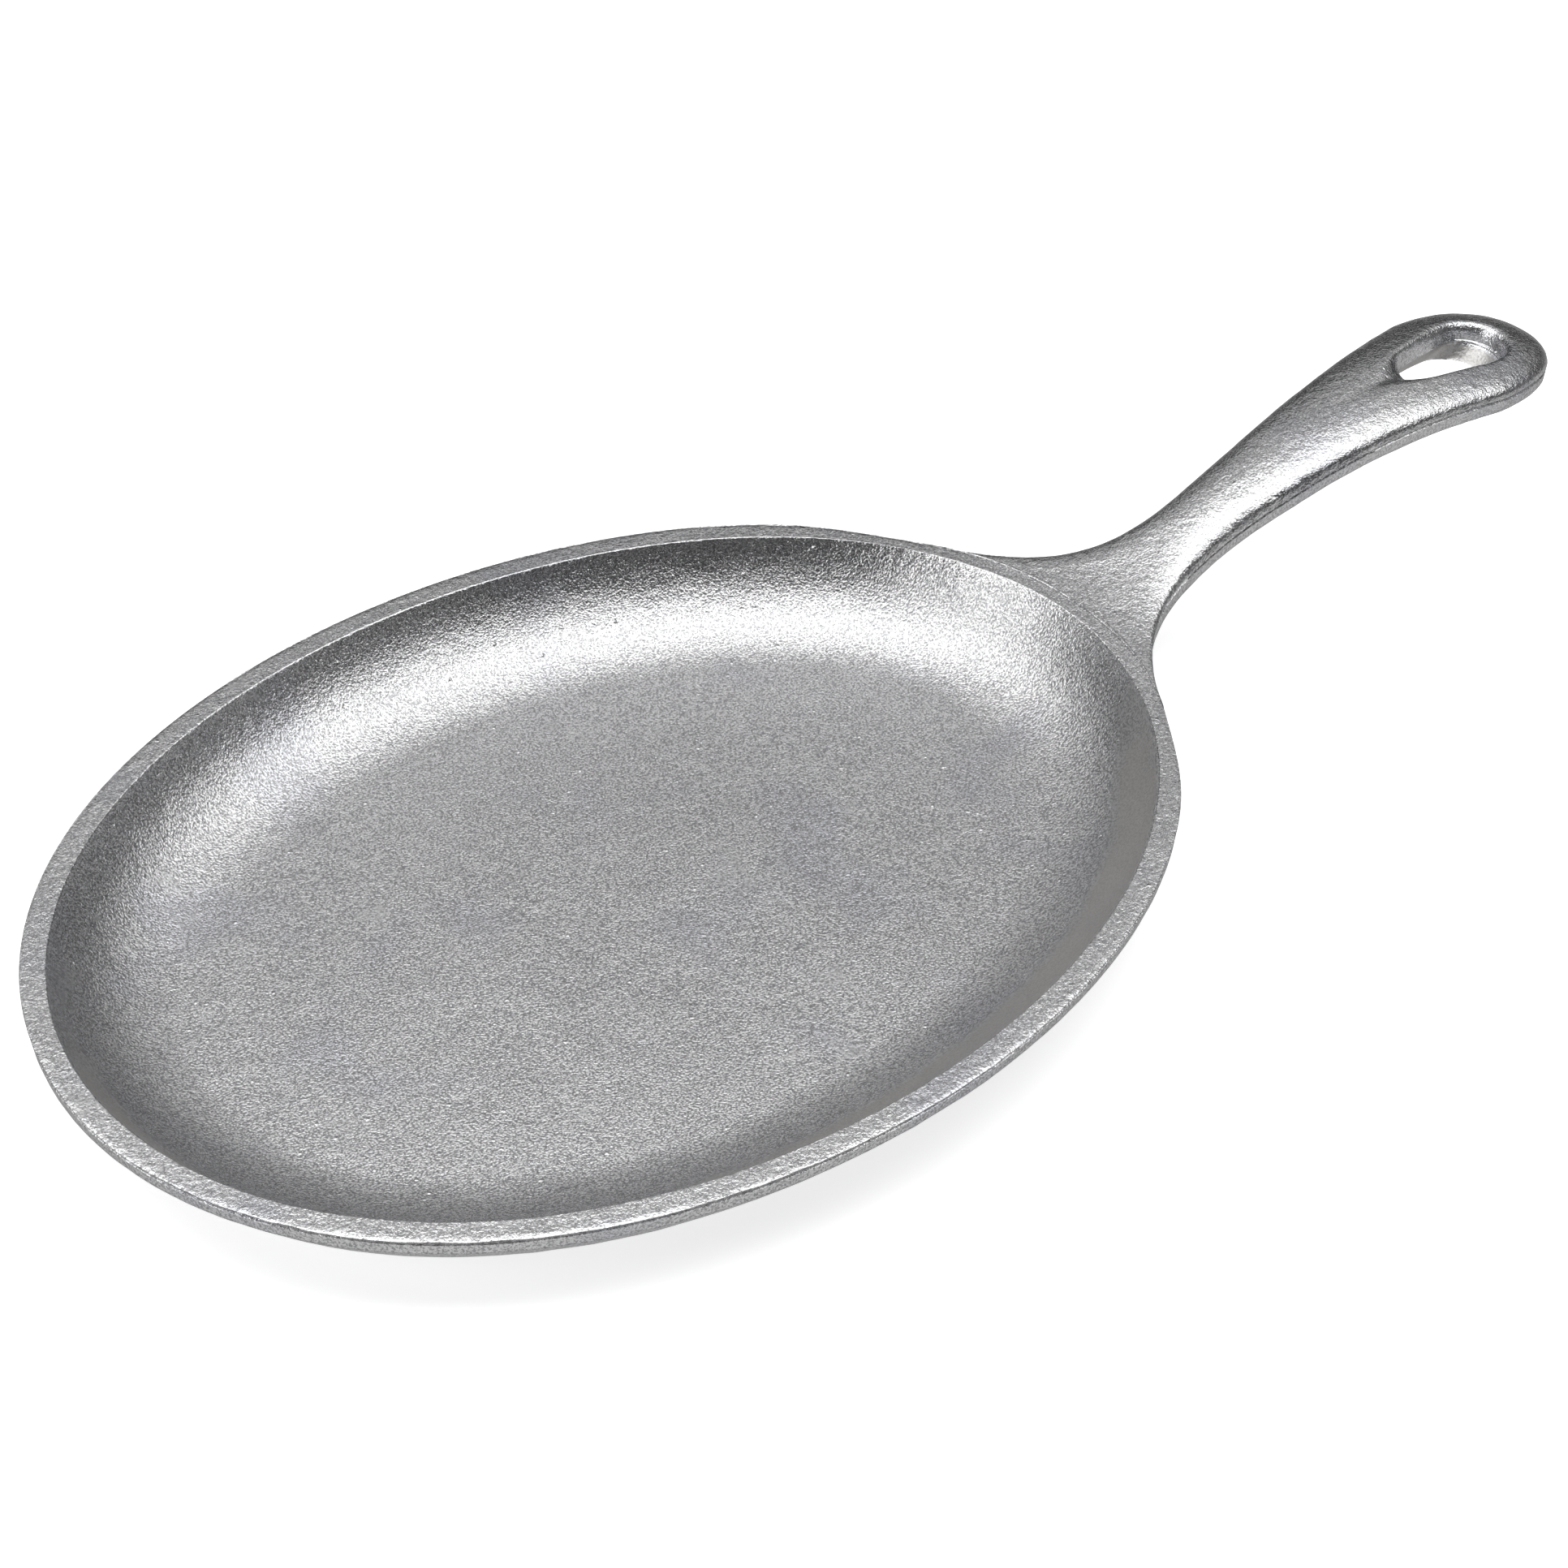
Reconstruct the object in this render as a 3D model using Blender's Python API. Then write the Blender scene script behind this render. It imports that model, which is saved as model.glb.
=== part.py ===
"""Oval cast skillet: a shallow dish and an arched handle with a hanging hole, poured as one casting.

Metres, +Z up. The origin is the centre of the flat underside. The handle points along +X.
"""
import math

import bmesh
import bpy

# --- dish ---------------------------------------------------------------------------------------
DISH_LENGTH = 0.254          # over the outer edge of the rim, along X
DISH_WIDTH = 0.1948          # over the outer edge of the rim, along Y
END_FULLNESS = 0.0095        # how much rounder than an ellipse the two ends are
SIDE_FULLNESS = 0.0037       # how much flatter than an ellipse the two sides are
HANDLE_END_TAPER = 0.022     # how much the handle end of the oval is slimmer than the far end
FLOOR_THICKNESS = 0.0040
RIM_WIDTH = 0.0054           # outer edge to inner arris
RIM_CROWN = 0.0004           # rim top above the parting line
RIM_EDGE_ROUND = 0.0009      # width of the rounding from the parting line to the rim top
RIM_BAND = 0.0035            # height of the upright band under the parting line
RIM_BAND_DRAFT = 0.0003      # how far the band draws in over its height
BAND_CORNER = 0.0004         # rounding of the band's lower corner
BAND_OVERHANG = 0.0016       # how far the band stands out from the wall under it
DISH_DEPTH = 0.0160          # parting line down to the cooking floor
COVE_RADIUS = 0.030          # inside radius between wall and floor
OUTER_COVE_RADIUS = 0.032    # outside radius between wall and underside
ROOT_WAIST = 0.0018          # how far the rim's outer edge draws in on each side of the handle
ROOT_WAIST_TURN = math.radians(28)    # where it draws in most, from the handle
ROOT_WAIST_SPREAD = math.radians(11)

RIM_HEIGHT = FLOOR_THICKNESS + DISH_DEPTH    # underside to the mould's parting line

# --- handle -------------------------------------------------------------------------------------
HANDLE_LENGTH = 0.1388       # rim's outer edge to the tip
ARCH_RISE = 0.0157           # highest point of the parting line above the rim's
NECK_WIDTH = 0.0184          # slimmest width
NECK_REACH = 0.035           # rim to neck
ROOT_FLARE = 0.0128          # how far each side spreads between neck and rim
FLARE_CURVE = 2.7            # 1 spreads in a straight line, more keeps the spread near the rim
HEAD_WIDTH = 0.0364          # widest width, round the hole
HEAD_LENGTH = 0.027          # widest place to the tip
TIP_ROUNDING = 0.016         # length over which the domed top comes down at the tip
HANDLE_CROWN = 0.0046        # domed top above the parting line
ROOT_CROWN = 0.0006          # the same where the handle leaves the rim
HANDLE_DEPTH = 0.0044        # underside below the parting line
ROOT_DEPTH = 0.0014          # how much deeper it is where it leaves the rim
HANDLE_CORNER = 0.0012       # rounding of the lower corners
HANDLE_DRAFT = 0.0004        # how far the sides draw in under the parting line
ROOT_LAP = 0.012             # how far the handle blank runs into the dish blank
LAP_DEPTH = 0.0028           # depth of the blank where it starts, hidden inside the rim's band
HEAD_CURVE = 1.35            # 1 widens in a straight line from neck to head, more widens late
TIP_FULLNESS = 2.3           # how long the head keeps its width towards the tip
TIP_BLUNTNESS = 2.2          # 2 ends in a round tip, more in a blunter one
TIP_FLAT = 0.00005           # the last section stops this short of the tip
DOME_FULLNESS = 0.8          # 1 domes the top evenly, less fills out its sides

# --- hanging hole -------------------------------------------------------------------------------
HOLE_TO_TIP = 0.0120         # metal between the hole and the tip
HOLE_ROUND = 0.0073          # radius of the hole's outer end
HOLE_NOSE = 0.0055           # radius of the hole's inner end
HOLE_LENGTH = 0.0280
HOLE_LIP = 0.0048            # rounding round the top of the hole
LIP_RISE = 1.04              # the rounding runs out just above the domed top
GROOVE_NOSE = 0.0008         # radius of the thumb groove's point
HOLE_LOWER_FLARE = 0.0016    # how far the hole opens out below the parting line
HOLE_LOWER_SHIFT = 0.0052    # how far the hole's lower half sits towards the dish
GROOVE_REACH = 0.0215        # from the hole's inner end to where the thumb groove runs out

# --- fineness -----------------------------------------------------------------------------------
OVAL_SIDES = 96
COVE_STEPS = 8
HANDLE_SECTIONS = 34
DOME_STEPS = 12
HOLE_SIDES = 36
HOLE_LIP_STEPS = 5
TIP_SECTIONS = 10
KNEE = 0.3                   # where the middle point of a small rounded corner sits
CUTTER_REACH = 2.2           # cutters stand out past the metal, in crowns or depths
CUTTER_NARROWING = 0.85      # the dish cutter's lid lies inside the rim's outer edge

# unit curves: the handle's arch as (share of its length, share of its rise)
ARCH_SHAPE = (
    (0.0, 0.0), (0.145, 0.137), (0.33, 0.563), (0.51, 0.882),
    (0.68, 1.0), (0.86, 0.91), (1.0, 0.76),
)

RIM_X = DISH_LENGTH / 2


def clear_scene():
    for item in list(bpy.data.objects):
        bpy.data.objects.remove(item, do_unlink=True)


def new_collection(name):
    group = bpy.data.collections.new(name)
    bpy.context.scene.collection.children.link(group)
    return group


# --- solids from loops --------------------------------------------------------------------------
def loft(name, loops, group):
    """A closed solid through loops of equal length, each running anticlockwise seen from its far end."""
    bm = bmesh.new()
    rows = [[bm.verts.new(point) for point in loop] for loop in loops]
    for low, high in zip(rows, rows[1:]):
        count = len(low)
        for i in range(count):
            j = (i + 1) % count
            bm.faces.new((low[i], low[j], high[j], high[i]))
    bm.faces.new(list(reversed(rows[0])))
    bm.faces.new(rows[-1])
    bmesh.ops.recalc_face_normals(bm, faces=bm.faces)
    mesh = bpy.data.meshes.new(name)
    bm.to_mesh(mesh)
    bm.free()
    item = bpy.data.objects.new(name, mesh)
    group.objects.link(item)
    return item


def cut_or_join(item, tool, operation):
    step = item.modifiers.new(operation.lower() + "_" + tool.name, "BOOLEAN")
    step.operation = operation
    step.solver = "EXACT"
    step.object = tool
    tool.hide_render = True
    tool.display_type = "WIRE"


# --- dish ---------------------------------------------------------------------------------------
def oval_point(turn):
    """An ellipse with fuller ends and sides, a little slimmer towards the handle."""
    along = math.cos(turn) * (1 + END_FULLNESS) - END_FULLNESS * math.cos(3 * turn)
    across = math.sin(turn) - SIDE_FULLNESS * math.sin(3 * turn) - HANDLE_END_TAPER / 2 * math.sin(2 * turn)
    return RIM_X * along, DISH_WIDTH / 2 * across / (1 + SIDE_FULLNESS)


def root_waist(turn):
    """How far the rim's outer edge is drawn in, beside the handle."""
    aside = abs(math.remainder(turn, 2 * math.pi)) - ROOT_WAIST_TURN
    return ROOT_WAIST * math.exp(-(aside / ROOT_WAIST_SPREAD) ** 2)


def oval_ring(inset, height, waist=0.0):
    """The rim's oval moved inwards by the same distance all round, and by a share of the waist."""
    points = []
    small = 0.001
    for i in range(OVAL_SIDES):
        turn = 2 * math.pi * (i + 0.5) / OVAL_SIDES
        x, y = oval_point(turn)
        before = oval_point(turn - small)
        after = oval_point(turn + small)
        dx, dy = after[0] - before[0], after[1] - before[1]
        length = math.hypot(dx, dy)
        inwards = inset + waist * root_waist(turn)
        points.append((x - inwards * dy / length, y + inwards * dx / length, height))
    return points


def cove_profile(radius, centre_inset, centre_height, top_height):
    """Insets and heights up the inside or outside of the cove, from the flat up to top_height."""
    steepest = math.acos((centre_height - top_height) / radius)
    rows = []
    for i in range(COVE_STEPS + 1):
        slope = steepest * i / COVE_STEPS
        rows.append((centre_inset - radius * math.sin(slope), centre_height - radius * math.cos(slope)))
    return rows


def dish_blank(group):
    band_foot = RIM_HEIGHT - RIM_BAND
    wall_top = band_foot - BAND_CORNER
    steepest = math.acos(1 - wall_top / OUTER_COVE_RADIUS)
    centre_inset = BAND_OVERHANG + OUTER_COVE_RADIUS * math.sin(steepest)
    profile = cove_profile(OUTER_COVE_RADIUS, centre_inset, OUTER_COVE_RADIUS, wall_top)
    profile.append((RIM_BAND_DRAFT + BAND_CORNER, band_foot))
    profile.append((RIM_BAND_DRAFT, band_foot + BAND_CORNER))
    profile.append((0.0, RIM_HEIGHT))
    profile.append((RIM_EDGE_ROUND * KNEE, RIM_HEIGHT + RIM_CROWN * (1 - KNEE)))
    profile.append((RIM_EDGE_ROUND, RIM_HEIGHT + RIM_CROWN))
    loops = []
    for inset, height in profile:
        loops.append(oval_ring(inset, height, waist=max(0.0, 1 - inset / RIM_WIDTH)))
    return loft("dish_blank", loops, group)


def dish_hollow(group):
    arris = RIM_HEIGHT + RIM_CROWN
    centre_height = FLOOR_THICKNESS + COVE_RADIUS
    centre_inset = RIM_WIDTH + math.sqrt(COVE_RADIUS ** 2 - (centre_height - arris) ** 2)
    profile = cove_profile(COVE_RADIUS, centre_inset, centre_height, arris)
    loops = [oval_ring(inset, height) for inset, height in profile]
    loops.append(oval_ring(RIM_WIDTH * CUTTER_NARROWING, arris + ARCH_RISE))
    return loft("dish_hollow", loops, group)


# --- handle -------------------------------------------------------------------------------------
def ease(share):
    share = min(max(share, 0.0), 1.0)
    return share * share * (3 - 2 * share)


def smooth_between(points, x):
    """A smooth curve through (x, y) points, level at both ends."""
    x = min(max(x, points[0][0]), points[-1][0])
    slopes = [0.0]
    for before, after in zip(points, points[2:]):
        slopes.append((after[1] - before[1]) / (after[0] - before[0]))
    slopes.append((points[-1][1] - points[-2][1]) / (points[-1][0] - points[-2][0]))
    i = 0
    while i < len(points) - 2 and x > points[i + 1][0]:
        i += 1
    span = points[i + 1][0] - points[i][0]
    t = (x - points[i][0]) / span
    rise = points[i + 1][1] - points[i][1]
    a = slopes[i] * span - rise
    b = rise - slopes[i + 1] * span
    return points[i][1] + t * rise + t * (1 - t) * (a * (1 - t) + b * t)


def parting_height(reach):
    """Height of the handle's parting line, reach being the distance out from the rim."""
    return RIM_HEIGHT + ARCH_RISE * smooth_between(ARCH_SHAPE, reach / HANDLE_LENGTH)


def half_width(reach):
    head_reach = HANDLE_LENGTH - HEAD_LENGTH
    grown = min(max((reach - NECK_REACH) / (head_reach - NECK_REACH), 0.0), 1.0)
    width = NECK_WIDTH / 2 + (HEAD_WIDTH - NECK_WIDTH) / 2 * grown ** HEAD_CURVE
    if reach < NECK_REACH:
        width += ROOT_FLARE * ((NECK_REACH - reach) / NECK_REACH) ** FLARE_CURVE
    past_head = min(max((reach - head_reach) / HEAD_LENGTH, 0.0), 1.0)
    return width * (1 - past_head ** TIP_FULLNESS) ** (1 / TIP_BLUNTNESS)


def crown_height(reach):
    """The top is flush with the rim at the root, and fully domed from the neck out."""
    grown = ease((reach + ROOT_LAP) / (NECK_REACH + ROOT_LAP))
    past = min(max((reach - HANDLE_LENGTH + TIP_ROUNDING) / TIP_ROUNDING, 0.0), 1.0)
    return (ROOT_CROWN + (HANDLE_CROWN - ROOT_CROWN) * grown) * math.sqrt(1 - past ** 2)


def handle_section(reach):
    wide = half_width(reach)
    base = parting_height(reach)
    crown = crown_height(reach)
    scale = min(1.0, wide / (NECK_WIDTH / 2))
    deep = HANDLE_DEPTH * (1 - (1 - scale) ** 4) + ROOT_DEPTH * ease(1 - reach / NECK_REACH)
    deep += (LAP_DEPTH - deep) * ease(-reach / ROOT_LAP)
    corner = HANDLE_CORNER * scale
    draft = HANDLE_DRAFT * scale
    x = RIM_X + reach
    loop = []
    for i in range(DOME_STEPS + 1):
        turn = math.pi * i / DOME_STEPS
        across = math.cos(turn)
        loop.append((x, wide * across, base + crown * math.sin(turn) ** DOME_FULLNESS))
    for side in (-1, 1):
        foot = [
            (side * (wide - draft), base - deep + corner),
            (side * (wide - draft - corner * KNEE), base - deep + corner * KNEE),
            (side * (wide - draft - corner), base - deep),
        ]
        if side > 0:
            foot.reverse()
        loop.extend((x, y, z) for y, z in foot)
    return loop


def handle_blank(group):
    reaches = []
    straight = HANDLE_SECTIONS - TIP_SECTIONS
    head_reach = HANDLE_LENGTH - HEAD_LENGTH
    for i in range(straight):
        reaches.append(-ROOT_LAP + (head_reach + ROOT_LAP) * i / straight)
    for i in range(TIP_SECTIONS):
        reaches.append(head_reach + HEAD_LENGTH * math.sin(math.pi / 2 * i / TIP_SECTIONS))
    reaches.append(HANDLE_LENGTH - TIP_FLAT)
    return loft("handle_blank", [handle_section(reach) for reach in reaches], group)


# --- hanging hole -------------------------------------------------------------------------------
def inside_drop(x, y, nose, nose_x, end, end_x):
    """Distance outside the outline drawn round a small and a large circle (negative inside)."""
    span = end_x - nose_x
    lean = (nose - end) / span
    level = math.sqrt(1 - lean * lean)
    px, py = x - nose_x, abs(y)
    k = -lean * py + level * px
    if k < 0:
        return math.hypot(px, py) - nose
    if k > level * span:
        return math.hypot(px - span, py) - end
    return px * lean + py * level - nose


def drop_outline(nose, nose_x, end, end_x, centre_x):
    """Points round a drop shape, at even angles about centre_x."""
    points = []
    for i in range(HOLE_SIDES):
        turn = 2 * math.pi * (i + 0.5) / HOLE_SIDES
        low, high = 0.0, HANDLE_LENGTH
        for _ in range(40):
            middle = (low + high) / 2
            x = centre_x + middle * math.cos(turn)
            if inside_drop(x, middle * math.sin(turn), nose, nose_x, end, end_x) < 0:
                low = middle
            else:
                high = middle
        points.append((centre_x + low * math.cos(turn), low * math.sin(turn)))
    return points


def hole_cutter(group):
    end_x = RIM_X + HANDLE_LENGTH - HOLE_TO_TIP - HOLE_ROUND
    nose_x = end_x + HOLE_ROUND - HOLE_LENGTH + HOLE_NOSE
    centre_x = end_x - HOLE_ROUND
    web = drop_outline(HOLE_NOSE, nose_x, HOLE_ROUND, end_x, centre_x)
    groove_x = nose_x - HOLE_NOSE - GROOVE_REACH + GROOVE_NOSE
    lip = drop_outline(GROOVE_NOSE, groove_x, HOLE_ROUND + HOLE_LIP, end_x, centre_x)
    levels = [(-HANDLE_DEPTH * CUTTER_REACH, -CUTTER_REACH), (0.0, 0.0)]
    for i in range(1, HOLE_LIP_STEPS + 1):
        turn = math.pi / 2 * i / HOLE_LIP_STEPS
        levels.append((HANDLE_CROWN * LIP_RISE * math.sin(turn), 1 - math.cos(turn)))
    levels.append((HANDLE_CROWN * CUTTER_REACH, 1.0))
    loops = []
    for height, share in levels:
        loop = []
        for (wx, wy), (lx, ly) in zip(web, lip):
            if share < 0:
                out = math.hypot(wx - centre_x, wy)
                grow = 1 - share * HOLE_LOWER_FLARE / out
                x = centre_x + (wx - centre_x) * grow + share * HOLE_LOWER_SHIFT
                y = wy * grow
            else:
                x, y = wx + (lx - wx) * share, wy + (ly - wy) * share
            loop.append((x, y, parting_height(x - RIM_X) + height))
        loops.append(loop)
    return loft("hole_cutter", loops, group)


# --- material -----------------------------------------------------------------------------------
def cast_metal():
    material = bpy.data.materials.new("cast_aluminium")
    material.use_nodes = True
    shader = material.node_tree.nodes["Principled BSDF"]
    shader.inputs["Base Color"].default_value = (0.42, 0.42, 0.43, 1.0)
    shader.inputs["Metallic"].default_value = 1.0
    shader.inputs["Roughness"].default_value = 0.42
    material.diffuse_color = (0.55, 0.55, 0.56, 1.0)
    return material


def main():
    clear_scene()
    parts = new_collection("oval_skillet")
    cutters = new_collection("cutters")
    casting = dish_blank(parts)
    casting.name = "skillet_casting"
    cut_or_join(casting, handle_blank(cutters), "UNION")
    cut_or_join(casting, dish_hollow(cutters), "DIFFERENCE")
    cut_or_join(casting, hole_cutter(cutters), "DIFFERENCE")
    casting.data.materials.append(cast_metal())
    casting.data.shade_smooth()
    casting.data.set_sharp_from_angle(angle=math.radians(35))


main()
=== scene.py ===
import math

import bmesh
import bpy
import numpy as np
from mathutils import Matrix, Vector, noise


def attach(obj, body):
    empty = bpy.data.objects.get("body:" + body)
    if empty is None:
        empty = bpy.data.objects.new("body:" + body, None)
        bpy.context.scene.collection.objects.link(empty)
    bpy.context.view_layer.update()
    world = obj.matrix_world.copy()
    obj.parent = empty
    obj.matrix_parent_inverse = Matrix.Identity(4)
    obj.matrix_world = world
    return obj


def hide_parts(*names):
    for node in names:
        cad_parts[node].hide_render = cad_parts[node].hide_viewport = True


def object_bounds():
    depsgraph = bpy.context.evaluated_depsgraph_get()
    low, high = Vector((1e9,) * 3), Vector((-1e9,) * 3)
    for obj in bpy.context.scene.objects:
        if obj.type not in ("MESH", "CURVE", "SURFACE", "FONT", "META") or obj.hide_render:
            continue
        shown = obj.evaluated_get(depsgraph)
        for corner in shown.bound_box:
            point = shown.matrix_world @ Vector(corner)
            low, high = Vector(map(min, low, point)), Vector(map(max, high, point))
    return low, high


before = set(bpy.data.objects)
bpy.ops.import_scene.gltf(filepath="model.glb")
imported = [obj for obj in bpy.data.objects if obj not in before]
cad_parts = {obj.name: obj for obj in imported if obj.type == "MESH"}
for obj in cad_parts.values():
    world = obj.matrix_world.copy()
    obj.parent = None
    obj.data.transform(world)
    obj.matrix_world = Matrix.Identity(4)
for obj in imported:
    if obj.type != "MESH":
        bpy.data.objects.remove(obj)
cadLow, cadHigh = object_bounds()
mm = 0.001
print("frame loaded")


# the pan's own sizes, the same ones the solid is made from
pan = {
    "dishLength": 254 * mm,
    "dishWidth": 194.8 * mm,
    "endFullness": 0.0095,
    "sideFullness": 0.0037,
    "handleEndTaper": 0.022,
    "floorThickness": 4 * mm,
    "dishDepth": 16 * mm,
    "coveRadius": 30 * mm,
    "outerCoveRadius": 32 * mm,
    "rimWidth": 5.4 * mm,
    "rimCrown": 0.4 * mm,
    "crownFullness": 0.42,        # less is flatter on top and rounder at the edge
    "rimEdgeRound": 1.7 * mm,
    "arrisRound": 0.60 * mm,      # softness of the inner edge of the rim
    "rimBand": 3.5 * mm,
    "bandDraft": 0.3 * mm,
    "bandCorner": 0.4 * mm,
    "bandOverhang": 1.6 * mm,
    "bandFillet": 0.6 * mm,       # between the band's foot and the outside wall
    "flatBase": 0.87,             # where the outside wall runs into the flat base
    # the parting line: how far in and how far down each step lies, in mm
    "partingLine": ((0.08, 0.0), (0.55, 0.12), (0.60, 0.50), (0.12, 0.75)),
    "rootWaist": 1.8 * mm,        # the rim draws in a little beside the handle
    "rootWaistTurn": math.radians(28),
    "rootWaistSpread": math.radians(11),
}

handle = {
    "length": 138.8 * mm,
    "archRise": 15.7 * mm,
    "neckWidth": 18.4 * mm,
    "neckReach": 35 * mm,
    "rootFlare": 12.8 * mm,
    "flareCurve": 2.7,
    "headWidth": 36.4 * mm,
    "headLength": 27 * mm,
    "headCurve": 1.35,            # more keeps the neck slim for longer
    "tipFullness": 2.3,
    "tipBluntness": 2.2,
    "crown": 4.6 * mm,
    "depth": 4.4 * mm,
    "rootDepth": 1.4 * mm,
    "corner": 1.2 * mm,
    "draft": 0.4 * mm,
    "rootLap": 12 * mm,
    "rootFillet": 4 * mm,         # where the underside of the handle runs into the dish
    "rootTurn": math.radians(27),  # the handle's mesh takes over from the rim's here
    "rootSoft": 0.03,             # rounding where the handle's side leaves the rim
    # the arch seen from the side: share of the length, share of the rise
    "arch": ((0.0, 0.0), (0.145, 0.137), (0.33, 0.563), (0.51, 0.882),
             (0.68, 1.0), (0.86, 0.91), (1.0, 0.76)),
}

hole = {
    "toTip": 12 * mm,
    "round": 7.3 * mm,
    "nose": 5.5 * mm,
    "length": 28 * mm,
    "lip": 4.8 * mm,
    "lipRise": 1.04,              # height of the lip, in crowns of the handle
    "lipSlope": 1.2,              # how steeply the lip goes on past its top
    "lowerFlare": 1.6 * mm,
    "lowerShift": 5.2 * mm,
    "grooveReach": 21.5 * mm,
    "grooveNose": 0.8 * mm,
    "soft": 0.8 * mm,             # rounding between the lip and the domed top
    "tipFill": 1.5 * mm,          # extra metal under the hole's outer end
    "bead": 0.28 * mm,            # mould line standing in round the hole
    # how far out in beads, and how far down in mm, each step of that line lies
    "beadShape": ((0.8, 0.08), (1.0, 0.22), (0.9, 0.42), (0.1, 0.62)),
    "wallSmoothAndShade": 0.85,           # how smooth and dull the hole's wall is under that line, and how far it takes the strip's darker colour, which is painted shade
}

rimX = pan["dishLength"] / 2
rimHeight = pan["floorThickness"] + pan["dishDepth"]


def ease(t):
    # 0 to 1 with a soft start and end
    t = np.clip(t, 0, 1)
    return t * t * (3 - 2 * t)


def lower(a, b, softness):
    # the lower of two surfaces, with a rounded meeting
    h = np.clip(0.5 + 0.5 * (b - a) / softness, 0, 1)
    return b + (a - b) * h - softness * h * (1 - h)


def archCurve(share):
    # smooth curve through the arch points, level at the rim
    px = np.array([p[0] for p in handle["arch"]])
    py = np.array([p[1] for p in handle["arch"]])
    slope = np.zeros(len(px))
    slope[1:-1] = (py[2:] - py[:-2]) / (px[2:] - px[:-2])
    slope[-1] = (py[-1] - py[-2]) / (px[-1] - px[-2])
    share = np.clip(share, 0, 1)
    i = np.clip(np.searchsorted(px, share) - 1, 0, len(px) - 2)
    run = px[i + 1] - px[i]
    t = (share - px[i]) / run
    rise = py[i + 1] - py[i]
    a = slope[i] * run - rise
    b = rise - slope[i + 1] * run
    return py[i] + t * rise + t * (1 - t) * (a * (1 - t) + b * t)


def partingHeight(x):
    # height of the mould's parting line, level round the rim
    return rimHeight + handle["archRise"] * archCurve((x - rimX) / handle["length"])


def halfWidth(x):
    # half the handle's width, from the rim out to the tip
    reach = np.asarray(x, float) - rimX
    headReach = handle["length"] - handle["headLength"]
    grown = np.clip((reach - handle["neckReach"]) / (headReach - handle["neckReach"]), 0, 1)
    spread = (handle["headWidth"] - handle["neckWidth"]) / 2
    wide = handle["neckWidth"] / 2 + spread * grown ** handle["headCurve"]
    flare = np.clip((handle["neckReach"] - reach) / handle["neckReach"], 0, None)
    wide = wide + handle["rootFlare"] * flare ** handle["flareCurve"]
    pastHead = np.clip((reach - headReach) / handle["headLength"], 0, 1)
    return wide * (1 - pastHead ** handle["tipFullness"]) ** (1 / handle["tipBluntness"])


def ovalPoint(turn):
    # a point of the rim's outer edge
    along = np.cos(turn) * (1 + pan["endFullness"]) - pan["endFullness"] * np.cos(3 * turn)
    across = np.sin(turn) - pan["sideFullness"] * np.sin(3 * turn)
    across -= pan["handleEndTaper"] / 2 * np.sin(2 * turn)
    return rimX * along, pan["dishWidth"] / 2 * across / (1 + pan["sideFullness"])


def ovalRing(turns, inset, waist=0.0):
    # the rim's edge moved inwards, drawn in beside the handle by a share of the waist
    x, y = ovalPoint(turns)
    step = 0.001
    ax, ay = ovalPoint(turns + step)
    bx, by = ovalPoint(turns - step)
    dx, dy = ax - bx, ay - by
    long = np.hypot(dx, dy)
    aside = np.abs((turns + math.pi) % (2 * math.pi) - math.pi) - pan["rootWaistTurn"]
    inwards = inset + waist * pan["rootWaist"] * np.exp(-(aside / pan["rootWaistSpread"]) ** 2)
    return np.stack([x - inwards * dy / long, y + inwards * dx / long], 1)


def rimWaist(inset):
    # the waist fades out across the rim
    return max(0.0, 1 - inset / pan["rimWidth"])


def resample(points, shares):
    # points at the given shares of a line's length
    steps = np.r_[0, np.cumsum(np.hypot(*np.diff(points, axis=0).T))]
    at = np.asarray(shares) * steps[-1]
    return np.stack([np.interp(at, steps, points[:, k]) for k in (0, 1)], 1)


def distanceTo(points, line):
    # shortest distance from each point to a line of many short stretches
    a, b = line[:-1], line[1:]
    run = b - a
    size = (run ** 2).sum(1)
    best = np.full(len(points), 1e9)
    batch = 2000                  # points measured at a time
    for start in range(0, len(points), batch):
        part = points[start:start + batch]
        t = np.clip(((part[:, None] - a) * run).sum(2) / size, 0, 1)
        gap = part[:, None] - a - t[..., None] * run
        best[start:start + batch] = np.sqrt((gap ** 2).sum(2).min(1))
    return best


# how finely the casting is meshed
fine = {
    "arcColumns": 56,       # across the handle
    "restColumns": 380,     # round the rest of the rim
    "rimRows": 12,
    "rimCrowding": 0.7,     # below 1 the rows crowd towards the edge
    "bottomRimRows": 16,
    "bottomRimCrowding": 0.8,
    "sections": 96,         # along the handle to the hole's groove
    "headColumns": 150,     # round the head
    "headRows": 36,
    "headCrowding": 1.15,   # above 1 the rows crowd towards the edge
    "arrisRows": 14,
    "coveRows": 41,
    "floorRows": 41,
    "outerWallRows": 15,
    "baseRows": 11,
    "capShare": 0.02,       # size of the last ring before the middle point
    "bandShares": (0.3, 0.6, 0.85),
    "holeWallRows": 6,
    "edgePoints": 900,      # along the handle's outline, before it is shared out
    "arrisInside": 0.7 * mm,     # the crisp inner edge's rows run from here inside the rim
    "arrisOutside": 0.9 * mm,    # to here down the wall
    "straightBy": 16 * mm,       # rows across the handle are straight from here out
    "plainFrom": 30 * mm,        # and are clear of the dish's wall from here out
}

rootTurn = handle["rootTurn"]
arcShare = np.linspace(-1, 1, fine["arcColumns"] + 1)
arcTurns = np.arcsin(arcShare * math.sin(rootTurn))
restTurns = np.linspace(rootTurn, 2 * math.pi - rootTurn, fine["restColumns"] + 1)[1:-1]
turns = np.r_[arcTurns, restTurns]          # anticlockwise, starting on the -Y side of the handle
arcCount = len(arcTurns)


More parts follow.
